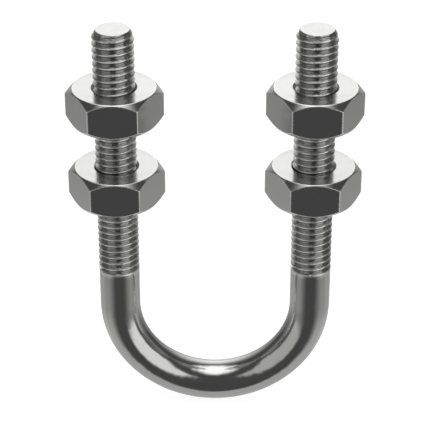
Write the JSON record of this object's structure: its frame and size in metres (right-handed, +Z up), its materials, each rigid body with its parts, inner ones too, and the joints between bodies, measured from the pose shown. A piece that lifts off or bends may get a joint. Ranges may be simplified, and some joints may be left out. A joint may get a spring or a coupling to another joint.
{
  "type": "u-bolt with hexagon nuts",
  "caption": "U-shaped round steel bolt, threaded on both legs, with pairs of hexagon nuts that turn along the threads to clamp a plate or hold a pipe.",
  "frame": {"origin": "lowest point of the bend, midway between the two legs", "axes": "+Z up the legs towards their free ends, +X from the left leg to the right leg, -Y to the front"},
  "size_m": [0.0418, 0.012, 0.0608],
  "materials": {
    "rod_steel": "bright stainless steel, drawn and rolled",
    "nut_steel": "bright stainless steel, turned end faces and drawn flats"
  },
  "bodies": {
    "u_bolt": {"u_bolt": "rod_steel"},
    "upper_left_nut_travel": {"upper_left_nut_clamping_face": "nut_steel"},
    "upper_left_nut": {"upper_left_nut": "nut_steel"},
    "upper_right_nut_travel": {"upper_right_nut_clamping_face": "nut_steel"},
    "upper_right_nut": {"upper_right_nut": "nut_steel"},
    "lower_left_nut_travel": {"lower_left_nut_clamping_face": "nut_steel"},
    "lower_left_nut": {"lower_left_nut": "nut_steel"},
    "lower_right_nut_travel": {"lower_right_nut_clamping_face": "nut_steel"},
    "lower_right_nut": {"lower_right_nut": "nut_steel"}
  },
  "joints": [
    {"name": "upper_left_nut_rise", "type": "slide", "parent": "u_bolt", "child": "upper_left_nut_travel", "axis": [0, 0, 1], "range_m": [-0.003, 0.014]},
    {"name": "upper_left_nut_turn", "type": "hinge", "parent": "upper_left_nut_travel", "child": "upper_left_nut", "pos_m": [-0.014, 0, 0.04941], "axis": [0, 0, 1], "range_deg": [-1080.01, 5040.01]},
    {"name": "upper_right_nut_rise", "type": "slide", "parent": "u_bolt", "child": "upper_right_nut_travel", "axis": [0, 0, 1], "range_m": [-0.003, 0.014]},
    {"name": "upper_right_nut_turn", "type": "hinge", "parent": "upper_right_nut_travel", "child": "upper_right_nut", "pos_m": [0.014, 0, 0.04941], "axis": [0, 0, 1], "range_deg": [-1080.01, 5040.01]},
    {"name": "lower_left_nut_rise", "type": "slide", "parent": "u_bolt", "child": "lower_left_nut_travel", "axis": [0, 0, 1], "range_m": [-0.01, 0.003]},
    {"name": "lower_left_nut_turn", "type": "hinge", "parent": "lower_left_nut_travel", "child": "lower_left_nut", "pos_m": [-0.014, 0, 0.03711], "axis": [0, 0, 1], "range_deg": [-3600.01, 1080.01]},
    {"name": "lower_right_nut_rise", "type": "slide", "parent": "u_bolt", "child": "lower_right_nut_travel", "axis": [0, 0, 1], "range_m": [-0.01, 0.003]},
    {"name": "lower_right_nut_turn", "type": "hinge", "parent": "lower_right_nut_travel", "child": "lower_right_nut", "pos_m": [0.014, 0, 0.03711], "axis": [0, 0, 1], "range_deg": [-3600.01, 1080.01]}
  ],
  "couplings": [
    {"joint": "upper_left_nut_turn", "follows": "upper_left_nut_rise", "rad_per_m": 6283.2},
    {"joint": "upper_right_nut_turn", "follows": "upper_right_nut_rise", "rad_per_m": 6283.2},
    {"joint": "lower_left_nut_turn", "follows": "lower_left_nut_rise", "rad_per_m": 6283.2},
    {"joint": "lower_right_nut_turn", "follows": "lower_right_nut_rise", "rad_per_m": 6283.2}
  ]
}
